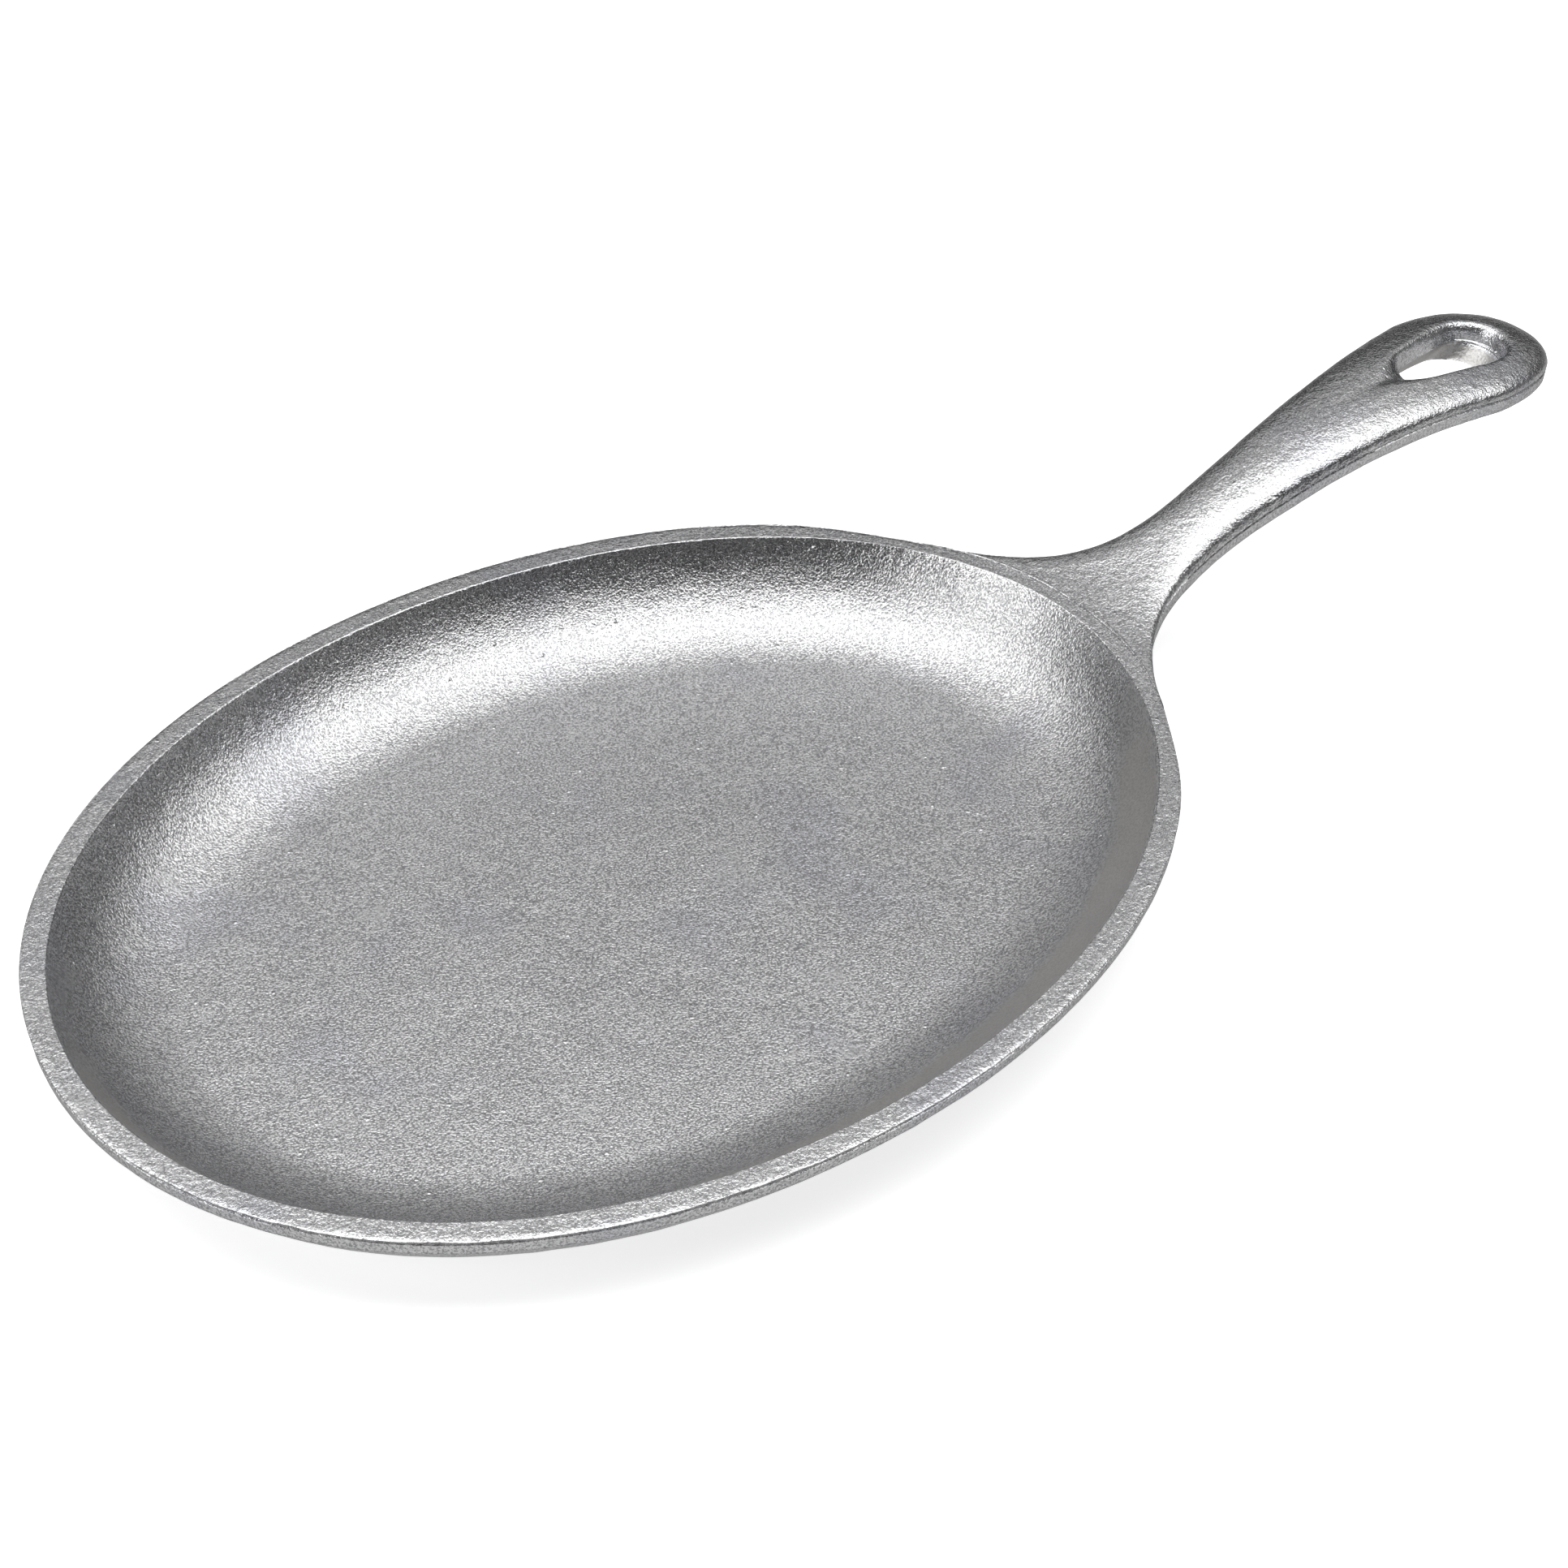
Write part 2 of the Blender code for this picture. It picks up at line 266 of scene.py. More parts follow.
def handleEdge():
    # one side of the handle from the rim to the tip, softened where it leaves the rim
    rimFrom, rimTo = math.radians(36), math.radians(14)
    rim = ovalRing(np.linspace(rimFrom, rimTo, 90), 0.0, 1.0)
    tipX = rimX + handle["length"]
    overlap = 14 * mm             # the side starts this far inside the rim
    x = rimX + np.linspace(-overlap, handle["length"] - handle["headLength"], 500)
    head = np.sin(np.linspace(0, math.pi / 2, 160)) * handle["headLength"]
    x = np.r_[x, tipX - handle["headLength"] + head[1:]]
    side = np.stack([x, halfWidth(x)], 1)
    side[-1, 1] = 0.0
    keepSide = side[:, 1] > np.interp(side[:, 0], rim[:, 0], rim[:, 1], left=1, right=-1)
    first = np.argmax(keepSide)
    rim = rim[rim[:, 0] < side[first, 0]]
    line = np.r_[rim, side[first:]]
    steps = np.r_[0, np.cumsum(np.hypot(*np.diff(line, axis=0).T))]
    corner = np.interp(steps[len(rim)], [0, steps[-1]], [0, 1])
    share = np.linspace(0, 1, fine["edgePoints"])
    line = resample(line, share)
    soft = np.exp(-((share - corner) / handle["rootSoft"]) ** 2)[:, None]
    smooth = line.copy()
    smoothings = 240
    for _ in range(smoothings):
        smooth[1:-1] = (smooth[:-2] + 2 * smooth[1:-1] + smooth[2:]) / 4
    line = line + (smooth - line) * soft
    start = np.argmin(np.hypot(*(line - ovalRing(np.array([rootTurn]), 0.0, 1.0)).T))
    return line[start:]


edge = handleEdge()                          # +Y side, from the rim to the tip
outline = np.r_[edge, edge[::-1][1:] * [1, -1]]
ringOut = ovalRing(np.linspace(rootTurn, 2 * math.pi - rootTurn, 700), 0.0, 1.0)
ringOut[0] = outline[0]
ringOut[-1] = outline[-1]
wholeOutline = np.r_[outline, ringOut[::-1][1:]]

grooveStart = rimX + handle["length"] - hole["toTip"] - hole["length"] - hole["grooveReach"]
sectionEnd = grooveStart - 4 * mm            # straight rows end just before the groove


def dropOutline(nose, noseX, end, endX, centreX, angles):
    # a small and a large circle with straight sides, as reaches at the given angles
    lean = (nose - end) / (endX - noseX)
    level = math.sqrt(1 - lean * lean)
    low = np.zeros(len(angles))
    high = np.full(len(angles), 0.1)
    halvings = 44
    for _ in range(halvings):
        middle = (low + high) / 2
        px = centreX + middle * np.cos(angles) - noseX
        py = np.abs(middle * np.sin(angles))
        k = level * px - lean * py
        side = px * lean + py * level - nose
        gap = np.where(k < 0, np.hypot(px, py) - nose, side)
        gap = np.where(k > level * (endX - noseX), np.hypot(px - (endX - noseX), py) - end, gap)
        inside = gap < 0
        low = np.where(inside, middle, low)
        high = np.where(inside, high, middle)
    return low


holeEndX = rimX + handle["length"] - hole["toTip"] - hole["round"]
holeNoseX = holeEndX + hole["round"] - hole["length"] + hole["nose"]
holeX = holeEndX - hole["round"]             # reaches round the hole are measured from here


def webReach(angles):
    # the hole's own edge
    return dropOutline(hole["nose"], holeNoseX, hole["round"], holeEndX, holeX, angles)


def lipReach(angles):
    # the outside of the lip and of the thumb groove
    nose = hole["grooveNose"]
    grooveX = holeNoseX - hole["nose"] - hole["grooveReach"] + nose
    return dropOutline(nose, grooveX, hole["round"] + hole["lip"], holeEndX, holeX, angles)


def topHeight(points, inset):
    # top of the rim and the handle; inset is how far inside the rim's edge a point lies
    x, y = points.T
    toEdge = distanceTo(points, wholeOutline)
    grown = ease((x - rimX + handle["rootLap"]) / (handle["neckReach"] + handle["rootLap"]))
    crown = pan["rimCrown"] + (handle["crown"] - pan["rimCrown"]) * grown
    headX = rimX + handle["length"] - handle["headLength"]
    wide = halfWidth(np.minimum(x, headX))
    roundness = pan["rimEdgeRound"] + (wide - pan["rimEdgeRound"]) * grown
    across = 1 - np.clip(toEdge / roundness, 0, 1)
    dome = partingHeight(x) + crown * (1 - across ** 2) ** pan["crownFullness"]
    # the hole's rounded lip and the groove that runs into it
    angles = np.arctan2(y, x - holeX)
    out = np.hypot(x - holeX, y)
    web, lip = webReach(angles), lipReach(angles)
    share = np.clip((out - web) / np.maximum(lip - web, 1e-6), 0, 1)
    rise = handle["crown"] * hole["lipRise"] * np.sqrt(1 - (1 - share) ** 2)
    lipTop = partingHeight(x) + rise + np.clip(out - lip, 0, None) * hole["lipSlope"]
    nearHole = x > grooveStart - 6 * mm
    softness = hole["soft"] * np.clip(rise / (2 * mm), 0.05, 1)   # crisper low in the groove
    dome = np.where(nearHole, lower(dome, lipTop, softness), dome)
    # the inner edge, where the cove's wall runs out through the rim
    if inset is not None:
        dome = lower(dome, coveHeight(inset), pan["arrisRound"])
    return dome


arrisHeight = rimHeight + pan["rimCrown"]
coveCentreHeight = pan["floorThickness"] + pan["coveRadius"]
coveRun = math.sqrt(pan["coveRadius"] ** 2 - (coveCentreHeight - arrisHeight) ** 2)
coveCentreInset = pan["rimWidth"] + coveRun


def coveHeight(inset):
    # inside wall from the floor up; above the rim's inner edge it goes on at the same slope
    sine = np.clip((coveCentreInset - inset) / pan["coveRadius"], 0, 1)
    steepest = (coveCentreInset - pan["rimWidth"]) / pan["coveRadius"]
    height = coveCentreHeight - pan["coveRadius"] * np.sqrt(1 - np.minimum(sine, steepest) ** 2)
    beyond = np.clip(pan["rimWidth"] - inset, 0, None)
    return height + beyond * steepest / math.sqrt(1 - steepest ** 2)


def bandDepth(x):
    # parting line down to the band's foot: deeper at the handle
    atRoot = handle["rootDepth"] * ease(1 - (x - rimX) / handle["neckReach"])
    under = handle["depth"] + atRoot
    start, run = 20 * mm, 18 * mm
    return pan["rimBand"] + (under - pan["rimBand"]) * ease((x - rimX + start) / run)


def wallHeight(inset):
    # the dish's outside wall; above its top it goes on at the same slope
    wallTop = rimHeight - pan["rimBand"] - pan["bandCorner"]
    steepest = math.sqrt(1 - (1 - wallTop / pan["outerCoveRadius"]) ** 2)
    centreInset = pan["bandOverhang"] + pan["outerCoveRadius"] * steepest
    sine = np.clip((centreInset - inset) / pan["outerCoveRadius"], 0, steepest)
    height = pan["outerCoveRadius"] * (1 - np.sqrt(1 - sine ** 2))
    beyond = np.clip(pan["bandOverhang"] - inset, 0, None)
    return height + beyond * steepest / math.sqrt(1 - steepest ** 2)


def bottomHeight(points, inset):
    # underside of the rim and the handle, and the outside wall further in
    x = points[:, 0]
    toEdge = distanceTo(points, wholeOutline)
    start, run = 20 * mm, 30 * mm
    onHandle = ease((x - rimX + start) / run)
    corner = pan["bandCorner"] + (handle["corner"] - pan["bandCorner"]) * onHandle
    draft = pan["bandDraft"] + (handle["draft"] - pan["bandDraft"]) * onHandle
    across = 1 - np.clip((toEdge - draft) / corner, 0, 1)
    under = partingHeight(x) - bandDepth(x) + corner * (1 - np.sqrt(1 - across ** 2))
    if inset is None:
        return under
    fillet = pan["bandFillet"] + (handle["rootFillet"] - pan["bandFillet"]) * onHandle
    return np.maximum(lower(under, wallHeight(inset), fillet), 0.0)


# the pan's skin, laid as rows of points that are stitched to each other
skin = {"points": [], "quads": [], "smooth": [], "count": 0}


def addRow(flat, heights, smooth=None):
    # smooth is each point's share of the smooth finish and of the painted shade that goes with it
    rows = np.column_stack([flat, heights])
    first = skin["count"]
    skin["points"].append(rows)
    skin["smooth"].append(np.zeros(len(rows)) if smooth is None else smooth)
    skin["count"] += len(rows)
    return np.arange(first, skin["count"])


def stitch(a, b):
    # faces between two rows
    skin["quads"].append(np.stack([a[:-1], a[1:], b[1:], b[:-1]], 1))


def closed(row):
    # a ring comes back to its first point
    return np.r_[row, row[:1]]


def edgeMoved(inwards):
    # the handle's edge on the +Y side, moved inwards
    run = np.gradient(edge, axis=0)
    run[-1] = [0, -1]
    run /= np.hypot(*run.T)[:, None]
    return edge + np.stack([run[:, 1], -run[:, 0]], 1) * inwards


restAll = np.r_[rootTurn, restTurns, 2 * math.pi - rootTurn]
edgeSteps = np.r_[0, np.cumsum(np.hypot(*np.diff(edge, axis=0).T))]
edgeSteps /= edgeSteps[-1]
sectionShare = np.interp(sectionEnd, edge[:, 0], edgeSteps)
sectionShares = np.linspace(0, sectionShare, fine["sections"] + 1)[1:]
headShares = np.linspace(sectionShare, 1, fine["headColumns"] // 2 + 1)[1:]


def layRows(baseInset, rimShares, draft, height):
    # lays rim, handle and head outside the base ring, on the top or on the underside
    rimInsets = baseInset + (draft - baseInset) * np.asarray(rimShares)
    side = edgeMoved(draft)
    base = ovalRing(turns, baseInset, rimWaist(baseInset))
    baseRow = addRow(base, height(base, np.full(len(base), baseInset)))
    rimBase = np.r_[baseRow[arcCount - 1:], baseRow[:1]]
    last = rimBase
    ends = []
    for inset in rimInsets:
        flat = ovalRing(restAll, inset, rimWaist(inset))
        if inset == rimInsets[-1]:
            flat[0] = side[0]
            flat[-1] = side[0] * [1, -1]
        row = addRow(flat, height(flat, np.full(len(flat), inset)))
        stitch(last, row)
        last = row
        ends.append((row[-1], row[0], flat[0]))
    rimLoop = last

    # across the root of the handle the rows change from the rim's curve to straight sections
    rootSide = np.linspace(-0.8, 0.8, 400)       # turns well past both sides of the handle
    baseCurve = ovalRing(rootSide, baseInset, rimWaist(baseInset))

    def baseX(y):
        return np.interp(y, baseCurve[:, 1], baseCurve[:, 0])

    fromX, toX = base[arcCount - 1, 0], rimX + fine["straightBy"]
    last = baseRow[:arcCount]
    sectionEnds = [(None, None, resample(side, [share])[0]) for share in sectionShares]
    leftEdge, rightEdge = [], []
    for lowId, highId, tip in ends + sectionEnds:
        straight = ease((tip[0] - fromX) / (toX - fromX))
        y = arcShare * tip[1]
        bulge = (baseX(y) - baseX(tip[1])) * (1 - straight)
        flat = np.stack([tip[0] + bulge, y], 1)
        inset = rimInset(flat) if tip[0] < rimX + fine["plainFrom"] else None
        if lowId is None:
            row = addRow(flat, height(flat, inset))
            leftEdge.append(row[0])
            rightEdge.append(row[-1])
        else:
            inner = addRow(flat[1:-1], height(flat[1:-1], inset[1:-1]))
            row = np.r_[lowId, inner, highId]
        stitch(last, row)
        last = row

    # round the hole every column runs from the hole's edge out to the handle's edge
    tipSide = resample(side, headShares)
    rimLine = np.r_[tipSide, tipSide[::-1][1:] * [1, -1]]
    sectionX = resample(side, [sectionShare])[0][0]
    rim = np.r_[np.stack([np.full(arcCount, sectionX), flat[:, 1]], 1), rimLine]
    angles = np.arctan2(rim[:, 1], rim[:, 0] - holeX)
    reach = webReach(angles)
    web = np.stack([holeX + reach * np.cos(angles), reach * np.sin(angles)], 1)
    outer = None
    for share in np.linspace(0, 1, fine["headRows"] + 1) ** fine["headCrowding"]:
        flat = rim + (web - rim) * share
        if share == 0:
            row = np.r_[last, addRow(flat[arcCount:], height(flat[arcCount:], None))]
            headRow = row[arcCount:]
        elif share == 1:
            if draft:      # the underside's hole is wider and sits nearer the dish
                flat = lowerWeb(flat)
            row = addRow(flat, height(flat, None))
        else:
            if draft:
                flat = flat + (lowerWeb(web) - web) * share
            row = addRow(flat, height(flat, None))
        if outer is not None:
            stitch(closed(outer), closed(row))
        outer = row
    loop = np.r_[rimLoop, leftEdge, headRow[::-1], rightEdge[::-1]]
    return baseRow, loop, outer


def lowerWeb(flat):
    # the hole's edge on the underside
    away = flat - [holeX, 0]
    away = away / np.hypot(*away.T)[:, None]
    moved = flat + away * hole["lowerFlare"] - [hole["lowerShift"], 0]
    moved[:, 0] -= hole["tipFill"] * ease(away[:, 0])
    return moved


ovalLine = ovalRing(np.linspace(-0.9, 0.9, 500), 0.0, 0.0)       # the rim's edge at the handle's end


def rimInset(flat):
    # how far inside the plain oval a point lies, below nothing outside it
    gap = distanceTo(flat, ovalLine)
    outside = flat[:, 0] > np.interp(flat[:, 1], ovalLine[:, 1], ovalLine[:, 0])
    return np.where(outside, -gap, gap)


# the smoother wall under the rim, darkened there with painted shade
smoothShadedStrip = {
    "down": 8.5 * mm,             # how far in from the rim's inner edge, at the ends
    "frontDown": 7 * mm,          # and this much more along the -Y side
    "fade": 5.5 * mm,
    "from": math.radians(150),    # round the dish from here to there
    "to": math.radians(347),
    "turnFade": math.radians(28),
}


def smoothShadedStripShare(inset):
    # 1 where the wall under the rim is smooth and darker brownish with painted shade, 0 where it has the
    # cast grain
    turn = turns % (2 * math.pi)
    down = smoothShadedStrip["down"] + smoothShadedStrip["frontDown"] * np.clip(-np.sin(turn), 0, 1) ** 2
    below = inset - pan["rimWidth"]
    onWall = ease((down - below) / smoothShadedStrip["fade"]) * ease(below / mm)
    gate = ease((turn - smoothShadedStrip["from"]) / smoothShadedStrip["turnFade"])
    return onWall * gate * ease((smoothShadedStrip["to"] - turn) / smoothShadedStrip["turnFade"])


def buildPan():
    # top: rim, handle and head, then the inner edge, the cove and the floor
    baseInset = pan["rimWidth"] - fine["arrisInside"]
    rimShares = np.linspace(0, 1, fine["rimRows"] + 1)[1:] ** fine["rimCrowding"]
    base, topLoop, topWeb = layRows(baseInset, rimShares, 0.0, topHeight)
    last = closed(base)
    arrisEnd = pan["rimWidth"] + fine["arrisOutside"]
    arris = np.linspace(baseInset, arrisEnd, fine["arrisRows"] + 1)[1:]
    cove = np.linspace(arris[-1], coveCentreInset, fine["coveRows"] + 1)[1:]
    for inset in arris:
        flat = ovalRing(turns, inset, rimWaist(inset))
        row = closed(addRow(flat, topHeight(flat, np.full(len(flat), inset)), smoothShadedStripShare(inset)))
        stitch(last, row)
        last = row
    for inset in cove:
        flat = ovalRing(turns, inset)
        row = closed(addRow(flat, coveHeight(np.full(len(flat), inset)), smoothShadedStripShare(inset)))
        stitch(last, row)
        last = row
    for share in np.linspace(1, fine["capShare"], fine["floorRows"] + 1)[1:]:
        row = closed(addRow(flat * share, np.full(len(flat), pan["floorThickness"])))
        stitch(last, row)
        last = row
    topCap = last
    print("top laid")

    # underside
    baseInset = 9 * mm            # where the rows of the rim end and those of the wall begin
    rimShares = np.linspace(0, 1, fine["bottomRimRows"] + 1)[1:] ** fine["bottomRimCrowding"]
    base, bottomLoop, bottomWeb = layRows(baseInset, rimShares, pan["bandDraft"], bottomHeight)
    last = closed(base)
    flatInset = pan["bandOverhang"] + pan["outerCoveRadius"] * pan["flatBase"]
    for inset in np.linspace(baseInset, flatInset, fine["outerWallRows"] + 1)[1:]:
        flat = ovalRing(turns, inset)
        row = closed(addRow(flat, wallHeight(np.full(len(flat), inset))))
        stitch(last, row)
        last = row
    for share in np.linspace(1, fine["capShare"], fine["baseRows"] + 1)[1:]:
        row = closed(addRow(flat * share, np.zeros(len(flat))))
        stitch(last, row)
        last = row
    bottomCap = last
    print("underside laid")

    # the band between them, with the fine step of the mould's parting line
    points = np.concatenate(skin["points"])
    top, bottom = points[topLoop], points[bottomLoop]
    last = closed(topLoop)
    for inwards, down in pan["partingLine"]:
        flat = top[:, :2] + (bottom[:, :2] - top[:, :2]) * inwards * mm / pan["bandDraft"]
        row = closed(addRow(flat, top[:, 2] - down * mm))
        stitch(last, row)
        last = row
    for share in fine["bandShares"]:
        middle = top + (bottom - top) * share
        row = closed(addRow(middle[:, :2], middle[:, 2]))
        stitch(last, row)
        last = row
    stitch(last, closed(bottomLoop))

    # the hole's wall, with its own mould line just under the edge
    top, bottom = points[topWeb], points[bottomWeb]
    inward = top[:, :2] - [holeX, 0]
    inward = -inward / np.hypot(*inward.T)[:, None]
    last = closed(topWeb)
    for reach, down in hole["beadShape"]:
        flat = top[:, :2] + inward * hole["bead"] * reach
        flat += (bottom[:, :2] - top[:, :2]) * down * mm / handle["depth"]
        row = closed(addRow(flat, top[:, 2] - down * mm))
        stitch(last, row)
        last = row
    beadFoot = 0.16
    # under that line the hole's wall gets the smooth finish and the darker colour of painted shade
    for share in np.linspace(beadFoot, 1, fine["holeWallRows"] + 2)[1:-1]:
        middle = top + (bottom - top) * share
        row = closed(addRow(middle[:, :2], middle[:, 2], np.full(len(middle), hole["wallSmoothAndShade"])))
        stitch(last, row)
        last = row
    stitch(last, closed(bottomWeb))

    # all the rows become one mesh, closed by a point in the middle of floor and base
    points = np.concatenate(skin["points"])
    quads = np.concatenate(skin["quads"])
    mesh = bpy.data.meshes.new("pan")
    faces = quads.tolist()
    for cap in (topCap, bottomCap):
        centre = len(points)
        points = np.vstack([points, points[cap[:-1]].mean(0)])
        faces += [(int(cap[i]), int(cap[i + 1]), centre) for i in range(len(cap) - 1)]
    mesh.from_pydata(points.tolist(), [], faces)
    mesh.update()
    # the strip attribute carries the smooth finish and the painted shade of the wall under the rim and in
    # the hole
    strip = mesh.attributes.new("strip", "FLOAT", "POINT")
    smooth = np.zeros(len(points))
    known = np.concatenate(skin["smooth"])
    smooth[:len(known)] = known
    strip.data.foreach_set("value", smooth)
    item = bpy.data.objects.new("pan_casting", mesh)
    bpy.context.scene.collection.objects.link(item)
    return item


# unevenness of the cast surface
surface = {
    "sag": 0.10 * mm,           # slow unevenness of the casting
    "sagSize": 34 * mm,
    "lumps": 0.07 * mm,         # hammered look of the inner wall
    "lumpSize": 7 * mm,
    "pits": 0.05 * mm,
    "pitSize": 2.6 * mm,
    "flatUpTo": 0.5 * mm,
    "sharpFrom": math.radians(50),
}


def roughen(item):
    # moves every point a little along its normal; the underside's flat stays flat
    mesh = item.data
    count = len(mesh.vertices)
    points = np.zeros(count * 3)
    normals = np.zeros(count * 3)
    mesh.vertices.foreach_get("co", points)
    mesh.vertex_normals.foreach_get("vector", normals)
    points, normals = points.reshape(-1, 3), normals.reshape(-1, 3)
    moved = np.zeros(count)
    for i, at in enumerate(points):
        place = Vector(at)
        slow = noise.noise(place / surface["sagSize"])
        lump = noise.noise(place / surface["lumpSize"] + Vector((7, 3, 5)))
        pit = noise.noise(place / surface["pitSize"] + Vector((1, 8, 2)))
        moved[i] = slow * surface["sag"] + lump * surface["lumps"] + pit * surface["pits"]
    moved -= moved.max()        # only inwards, so the pan keeps its outer size
    free = points[:, 2] > surface["flatUpTo"]
    points[free] += normals[free] * moved[free, None]
    mesh.vertices.foreach_set("co", points.ravel())
    mesh.update()


casting = buildPan()
bm = bmesh.new()
bm.from_mesh(casting.data)
bmesh.ops.recalc_face_normals(bm, faces=bm.faces)
bm.to_mesh(casting.data)
bm.free()
casting.data.shade_smooth()
roughen(casting)
casting.data.set_sharp_from_angle(angle=surface["sharpFrom"])
print("pan cast,", len(casting.data.polygons), "faces")


# the bare cast metal
castSkin = {
    "colour": (0.77, 0.77, 0.775, 1),
    "crevice": (0.40, 0.40, 0.41, 1),      # between the grains
    "cool": (0.65, 0.66, 0.70, 1),         # faint bluish patches
    # painted shade: the darker brownish colour of the wall under the rim and of the hole's wall
    "stripShadeColour": (0.50, 0.485, 0.46, 1),
    "stripShadeTint": 0.78,                     # how much of the painted shade colour goes on; the rest of the grain's speckle shows through
    "roughness": (0.18, 0.28),
    "stripRoughness": 0.46,
    "stripGrain": 0.3,                     # share of the grain left on it
    "stripEdge": (0.25, 0.85),             # closer together is a crisper edge
    "stripFray": 0.3,
    "stripMost": 0.9,
    "grain": 0.50 * mm,
    "grainDepth": 0.19 * mm,
    "creviceEdge": (0.40, 0.56),
    "lumps": 1.7 * mm,
    "lumpDepth": 0.22 * mm,
    "floorLumps": 0.35,                    # share of the lumps left on the dish's floor
    "floorEdge": 9 * mm,                   # the wall's full lumps start fading in this high up
    "topCalm": 0.32,                       # how much calmer the grain is on rim and handle
    "topEdge": 1.5 * mm,
    "nubs": 5.0 * mm,
    "nubWidth": 0.10,
    "nubDepth": 0.20 * mm,
    "clouds": 60.0,                        # per metre: uneven shine and ragged edges
    "patches": 34.0,                       # per metre
    "patchEdge": (0.56, 0.68),
    "patchMost": 0.7,
}


def node(tree, kind, x, y, **settings):
    # a node with its settings, or the values of its sockets
    made = tree.nodes.new(kind)
    made.location = (x, y)
    for name, value in settings.items():
        if hasattr(made, name):
            setattr(made, name, value)
        else:
            made.inputs[name.replace("_", " ")].default_value = value
    return made


def span(tree, x, y, source, low, high, toLow, toHigh):
    # stretches one value's range onto another
    made = node(tree, "ShaderNodeMapRange", x, y)
    made.inputs["From Min"].default_value = low
    made.inputs["From Max"].default_value = high
    made.inputs["To Min"].default_value = toLow
    made.inputs["To Max"].default_value = toHigh
    tree.links.new(source, made.inputs["Value"])
    return made.outputs[0]


def mixColours(tree, x, y, share, colourA, colourB):
    # each colour is a fixed one or another node's output
    made = node(tree, "ShaderNodeMix", x, y, data_type="RGBA")
    for socket, colour in ((made.inputs[6], colourA), (made.inputs[7], colourB)):
        if isinstance(colour, tuple):
            socket.default_value = colour
        else:
            tree.links.new(colour, socket)
    tree.links.new(share, made.inputs["Factor"])
    return made.outputs[2]


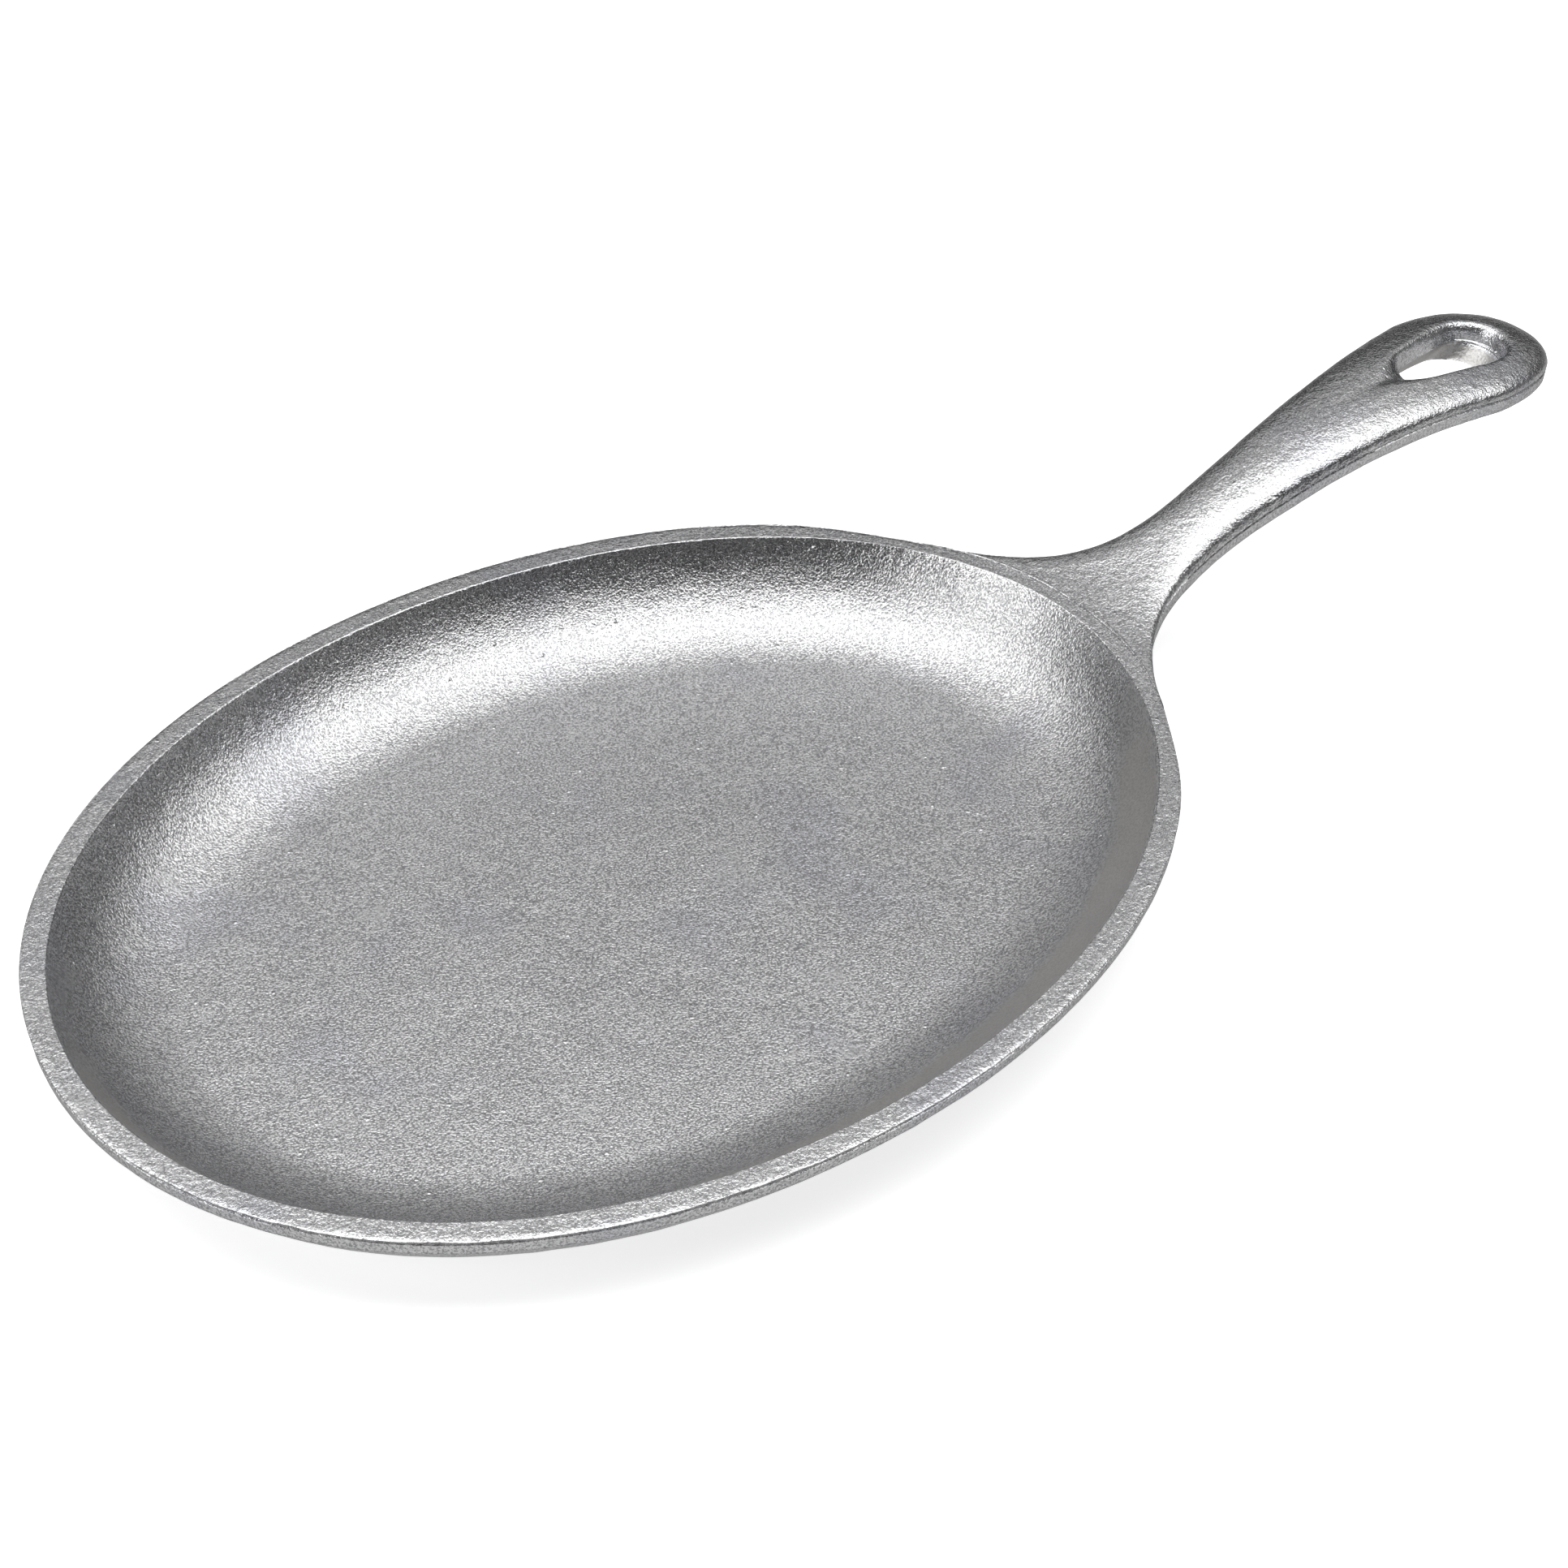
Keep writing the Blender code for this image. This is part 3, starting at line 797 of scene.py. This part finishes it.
def castSkinMaterial():
    look = bpy.data.materials.new("cast_skin")
    look.use_nodes = True
    tree = look.node_tree
    tree.nodes.clear()
    link = tree.links.new
    out = node(tree, "ShaderNodeOutputMaterial", 1300, 0)
    metal = node(tree, "ShaderNodeBsdfPrincipled", 1000, 0, Metallic=1.0)
    link(metal.outputs[0], out.inputs[0])
    cloudRange = (0.3, 0.7)       # what the cloud noise mostly lies between
    place = node(tree, "ShaderNodeTexCoord", -1400, 0)
    grain = node(tree, "ShaderNodeTexNoise", -900, -200,
                 Scale=1 / castSkin["grain"], Detail=2.0, Roughness=0.6)
    lumps = node(tree, "ShaderNodeTexNoise", -900, -450, Scale=1 / castSkin["lumps"], Detail=2.0)
    cloud = node(tree, "ShaderNodeTexNoise", -900, 100,
                 Scale=castSkin["clouds"], Detail=4.0, Roughness=0.6)
    patch = node(tree, "ShaderNodeTexNoise", -900, 350, Scale=castSkin["patches"], Detail=2.0)
    nubs = node(tree, "ShaderNodeTexVoronoi", -900, -700,
                Scale=1 / castSkin["nubs"], Randomness=1.0)
    for texture in (grain, lumps, cloud, patch, nubs):
        link(place.outputs["Object"], texture.inputs["Vector"])
    where = node(tree, "ShaderNodeSeparateXYZ", -1150, 600)
    link(place.outputs["Object"], where.inputs[0])

    # the smooth strip, which also carries the painted shade, with a ragged edge
    strip = node(tree, "ShaderNodeAttribute", -1150, 800, attribute_name="strip")
    ragged = node(tree, "ShaderNodeMath", -700, 800, operation="ADD")
    link(strip.outputs["Fac"], ragged.inputs[0])
    frayed = castSkin["stripFray"]
    link(span(tree, -900, 750, cloud.outputs["Fac"], *cloudRange, -frayed, frayed), ragged.inputs[1])
    onStrip = span(tree, -500, 800, ragged.outputs[0],
                   *castSkin["stripEdge"], 0.0, castSkin["stripMost"])

    # grain, lumps and nubs stand up from each other
    nubHeight = span(tree, -600, -700, nubs.outputs["Distance"],
                     0.0, castSkin["nubWidth"], 1.0, 0.0)
    nubBump = node(tree, "ShaderNodeBump", -300, -650, Distance=castSkin["nubDepth"])
    lumpBump = node(tree, "ShaderNodeBump", 0, -500, Distance=castSkin["lumpDepth"])
    fineBump = node(tree, "ShaderNodeBump", 300, -350, Distance=castSkin["grainDepth"])
    link(nubHeight, nubBump.inputs["Height"])
    link(lumps.outputs["Fac"], lumpBump.inputs["Height"])
    link(grain.outputs["Fac"], fineBump.inputs["Height"])
    link(nubBump.outputs[0], lumpBump.inputs["Normal"])
    link(lumpBump.outputs[0], fineBump.inputs["Normal"])
    link(fineBump.outputs[0], metal.inputs["Normal"])
    wallFrom = pan["floorThickness"] + castSkin["floorEdge"]
    lumpy = span(tree, -600, 600, where.outputs["Z"],
                 wallFrom, rimHeight, castSkin["floorLumps"], 1.0)
    link(lumpy, lumpBump.inputs["Strength"])

    # the grain is calmer on the strip, the rim and the handle
    topFrom = rimHeight - castSkin["topEdge"]
    calmer = span(tree, -300, 900, where.outputs["Z"], topFrom, rimHeight, 0.0, castSkin["topCalm"])
    calm = node(tree, "ShaderNodeMath", 0, 900, operation="MAXIMUM")
    link(onStrip, calm.inputs[0])
    link(calmer, calm.inputs[1])
    grainy = span(tree, 200, 650, calm.outputs[0], 0.0, 1.0, 1.0, castSkin["stripGrain"])
    link(grainy, fineBump.inputs["Strength"])
    link(grainy, nubBump.inputs["Strength"])

    # colour: dark between the grains, paler on them, faintly blue in places, darker brownish under the rim
    # as painted shade
    bluish = span(tree, 0, 450, patch.outputs["Fac"],
                  *castSkin["patchEdge"], 0.0, castSkin["patchMost"])
    bare = mixColours(tree, 200, 500, bluish, castSkin["colour"], castSkin["cool"])
    onGrains = span(tree, 0, 200, grain.outputs["Fac"], *castSkin["creviceEdge"], 0.0, 1.0)
    speckled = mixColours(tree, 400, 300, onGrains, castSkin["crevice"], bare)
    speckled = mixColours(tree, 500, 450, calmer, speckled, bare)
    # painted shade on the strip and in the hole's wall
    stripShadeShare = span(tree, 400, 500, onStrip, 0.0, 1.0, 0.0, castSkin["stripShadeTint"])
    coloured = mixColours(tree, 600, 300, stripShadeShare, speckled, castSkin["stripShadeColour"])
    link(coloured, metal.inputs["Base Color"])
    dull = span(tree, 200, 0, cloud.outputs["Fac"], *cloudRange, *castSkin["roughness"])
    satin = node(tree, "ShaderNodeMix", 600, 0)
    satin.inputs["B"].default_value = castSkin["stripRoughness"]
    link(dull, satin.inputs["A"])
    link(onStrip, satin.inputs["Factor"])
    link(satin.outputs[0], metal.inputs["Roughness"])
    return look


casting.data.materials.append(castSkinMaterial())
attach(casting, "root")
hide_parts("skillet_casting")
print("finish on")


# where the camera stands: turned round the pan from its -Y side, and raised
view = {
    "aim": Vector((37.38 * mm, -6.31 * mm, 20 * mm)),
    "turn": -0.6877,
    "height": 0.6906,
    "distance": 0.8255,
    "lens": 92.03,
}

# a sheet of white paper
paper = {
    "size": 9.0,
    "tone": 0.93,
    "mottle": 0.01,
    "mottleScale": 90.0,
    "roughness": 0.8,
    "glow": 0.65,
}

# three soft boxes: turn from the camera's side and height in degrees, metres away, size, brightness
softBoxes = {
    "overhead": (180, 86, 1.5, (3.3, 1.28), 2.08),
    "far_panel": (180, 24, 2.4, (4.0, 1.9), 0.38),
    "side_card": (-63, 25, 1.5, (0.7, 0.6), 4.0),
}
lightsAim = Vector((0.03, 0, 0))

# a black flag behind the handle, seen only in the metal
flagCloth = {
    "away": 0.47,
    "aside": 0.15,
    "size": (1.1, 0.21),
    "colour": (0.02, 0.02, 0.02, 1),
}

# what the metal mirrors of the room; near is the camera's side
room = {
    "aboveNear": (0.07, 0.07, 0.072, 1),
    "aboveFar": (0.19, 0.19, 0.193, 1),
    "belowNear": (0.66, 0.66, 0.66, 1),
    "belowFar": (0.40, 0.40, 0.40, 1),
    "backdrop": (1, 1, 1, 1),     # what the camera itself sees past the floor
    "sideSoft": 0.7,
    "levelSoft": 0.06,
}


def facing(turn, height):
    # the way to a point seen from the pan, both in radians
    return Vector((math.sin(turn) * math.cos(height), -math.cos(turn) * math.cos(height), math.sin(height)))


def layFloor():
    half = paper["size"] / 2
    mesh = bpy.data.meshes.new("floor")
    corners = [(-half, -half, 0), (half, -half, 0), (half, half, 0), (-half, half, 0)]
    mesh.from_pydata(corners, [], [(0, 1, 2, 3)])
    floor = bpy.data.objects.new("floor", mesh)
    bpy.context.scene.collection.objects.link(floor)
    floor.location.z = cadLow.z - 0.2 * mm
    look = bpy.data.materials.new("floor_paper")
    look.use_nodes = True
    tree = look.node_tree
    shader = tree.nodes["Principled BSDF"]
    shader.inputs["Roughness"].default_value = paper["roughness"]
    shader.inputs["Emission Color"].default_value = (1, 1, 1, 1)
    shader.inputs["Emission Strength"].default_value = paper["glow"]
    fibre = node(tree, "ShaderNodeTexNoise", -600, 0, Scale=paper["mottleScale"], Detail=3.0)
    low, high = paper["tone"] - paper["mottle"], paper["tone"] + paper["mottle"]
    tone = span(tree, -300, 0, fibre.outputs["Fac"], 0.0, 1.0, low, high)
    tree.links.new(tone, shader.inputs["Base Color"])
    mesh.materials.append(look)
    floor.visible_glossy = False      # the metal mirrors the room below instead


def hangSoftBox(name, turn, height, away, size, brightness):
    # a soft box that looks at the pan
    data = bpy.data.lights.new(name, "AREA")
    data.shape = "RECTANGLE"
    data.size, data.size_y = size
    data.energy = brightness * math.pi * size[0] * size[1]
    lamp = bpy.data.objects.new(name, data)
    bpy.context.scene.collection.objects.link(lamp)
    back = facing(view["turn"] + math.radians(turn), math.radians(height))
    lamp.location = lightsAim + back * away
    lamp.rotation_euler = back.to_track_quat("Z", "Y").to_euler()


def standFlag():
    wide, high = flagCloth["size"]
    mesh = bpy.data.meshes.new("flag")
    corners = [(-wide / 2, 0, 0), (wide / 2, 0, 0), (wide / 2, 0, high), (-wide / 2, 0, high)]
    mesh.from_pydata(corners, [], [(0, 1, 2, 3)])
    flag = bpy.data.objects.new("flag", mesh)
    bpy.context.scene.collection.objects.link(flag)
    turn = view["turn"]
    flag.location = view["aim"] - facing(turn, 0) * flagCloth["away"]
    flag.location += Vector((math.cos(turn), math.sin(turn), 0)) * flagCloth["aside"]
    flag.location.z = cadLow.z
    flag.rotation_euler.z = turn
    flag.visible_camera = False
    flag.visible_diffuse = False
    flag.visible_shadow = False
    look = bpy.data.materials.new("flag_cloth")
    look.use_nodes = True
    shader = look.node_tree.nodes["Principled BSDF"]
    shader.inputs["Base Color"].default_value = flagCloth["colour"]
    shader.inputs["Roughness"].default_value = 1.0
    mesh.materials.append(look)


def lightRoom():
    # dim above; below the table's edge pale on the camera's side and darker away from it
    world = bpy.data.worlds.new("studio")
    world.use_nodes = True
    tree = world.node_tree
    link = tree.links.new
    way = node(tree, "ShaderNodeTexCoord", -1200, 0)
    level = node(tree, "ShaderNodeSeparateXYZ", -900, 200)
    link(way.outputs["Generated"], level.inputs[0])
    side = node(tree, "ShaderNodeVectorMath", -900, -100, operation="DOT_PRODUCT")
    side.inputs[1].default_value = (math.sin(view["turn"]), -math.cos(view["turn"]), 0)
    link(way.outputs["Generated"], side.inputs[0])
    near = span(tree, -600, -100, side.outputs["Value"],
                -room["sideSoft"], room["sideSoft"], 0.0, 1.0)
    high = span(tree, -600, 200, level.outputs["Z"],
                -room["levelSoft"], room["levelSoft"], 0.0, 1.0)
    below = mixColours(tree, -400, -100, near, room["belowFar"], room["belowNear"])
    above = mixColours(tree, -400, 150, near, room["aboveFar"], room["aboveNear"])
    lit = mixColours(tree, -200, 0, high, below, above)
    ray = node(tree, "ShaderNodeLightPath", -400, 400)
    seen = mixColours(tree, 0, 100, ray.outputs["Is Camera Ray"], lit, room["backdrop"])
    link(seen, tree.nodes["Background"].inputs["Color"])
    bpy.context.scene.world = world


def placeCamera():
    lens = bpy.data.cameras.new("camera")
    lens.lens = view["lens"]
    lens.sensor_width = 36
    lens.clip_start, lens.clip_end = 0.05, 20
    camera = bpy.data.objects.new("camera", lens)
    bpy.context.scene.collection.objects.link(camera)
    back = facing(view["turn"], view["height"])
    camera.location = view["aim"] + back * view["distance"]
    camera.rotation_mode = "QUATERNION"
    camera.rotation_quaternion = back.to_track_quat("Z", "Y")
    bpy.context.scene.camera = camera
    bpy.context.scene.view_settings.view_transform = "Standard"


layFloor()
standFlag()
for name, box in softBoxes.items():
    hangSoftBox(name, *box)
lightRoom()
placeCamera()
print("studio ready")
